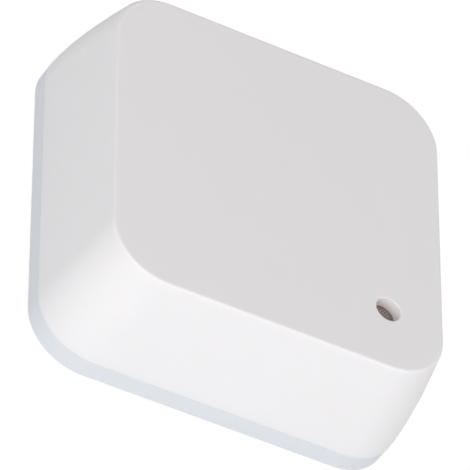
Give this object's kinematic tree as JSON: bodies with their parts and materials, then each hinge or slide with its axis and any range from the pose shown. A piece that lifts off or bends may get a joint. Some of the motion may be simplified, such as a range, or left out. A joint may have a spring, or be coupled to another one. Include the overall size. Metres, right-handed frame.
{
  "type": "presence sensor",
  "caption": "White rounded-square presence sensor with a small sensing window near one corner, battery powered, pulled off a flat back plate that sticks or screws on.",
  "frame": {"origin": "Centre of the mounting face, which is the back of the adhesive pad.", "axes": "+Z points out of the front face, +X runs to the right and +Y up as one looks at the front, with the sensing window near the +X, -Y corner."},
  "size_m": [0.058, 0.058, 0.0207],
  "materials": {
    "housing_plastic": "fine satin moulded white",
    "plate_plastic": "satin moulded pale blue-grey",
    "foam": "matt closed-cell foam",
    "window_plastic": "ribbed dark infrared plastic",
    "can_steel": "plated sheet",
    "filter_glass": "polished dark filter",
    "tinned_metal": "bright tin plating",
    "board": "green solder mask",
    "screw_steel": "zinc plated",
    "holder_plastic": "black moulded",
    "cell_steel": "nickel plated",
    "cell_sleeve": "plain shrink film",
    "copper": "gold plated copper",
    "chip_plastic": "moulded epoxy",
    "capacitor_plastic": "moulded epoxy",
    "capacitor_ceramic": "fired ceramic",
    "ferrite": "pressed ferrite",
    "clear_plastic": "clear lens",
    "plunger_plastic": "moulded"
  },
  "bodies": {
    "mounting_plate": {"back_plate": "plate_plastic", "adhesive_pad": "foam"},
    "sensor_unit": {"front_housing": "housing_plastic", "sensor_window": "window_plastic", "window_retainer": "foam", "detector_can": "can_steel", "detector_filter": "filter_glass", "detector_pins": "tinned_metal", "circuit_board": "board", "board_screws": "screw_steel", "battery_holder": "holder_plastic", "bridge_contact": "tinned_metal", "negative_terminal": "tinned_metal", "positive_terminal": "tinned_metal", "negative_spring": "tinned_metal", "bridge_spring": "tinned_metal", "left_cell": "cell_steel", "left_cell_sleeve": "cell_sleeve", "right_cell": "cell_steel", "right_cell_sleeve": "cell_sleeve", "radio_board": "board", "radio_shield": "can_steel", "radio_antenna": "copper", "processor_chip": "chip_plastic", "amplifier_chip": "chip_plastic", "amplifier_feet": "tinned_metal", "timing_crystal": "can_steel", "bulk_capacitor": "capacitor_plastic", "power_inductor": "ferrite", "status_light": "clear_plastic", "ceramic_capacitors": "capacitor_ceramic", "switch_case": "chip_plastic", "switch_cover": "can_steel", "switch_feet": "tinned_metal"},
    "pairing_button": {"button_plunger": "plunger_plastic"}
  },
  "joints": [
    {"name": "unit_lift", "type": "slide", "parent": "mounting_plate", "child": "sensor_unit", "axis": [0, 0, 1], "range_m": [0, 0.03]},
    {"name": "button_press", "type": "slide", "parent": "sensor_unit", "child": "pairing_button", "axis": [0, 0, 1], "range_m": [0, 0.00025], "stiffness_N_per_m": 6400, "springref_m": -0.00005}
  ]
}
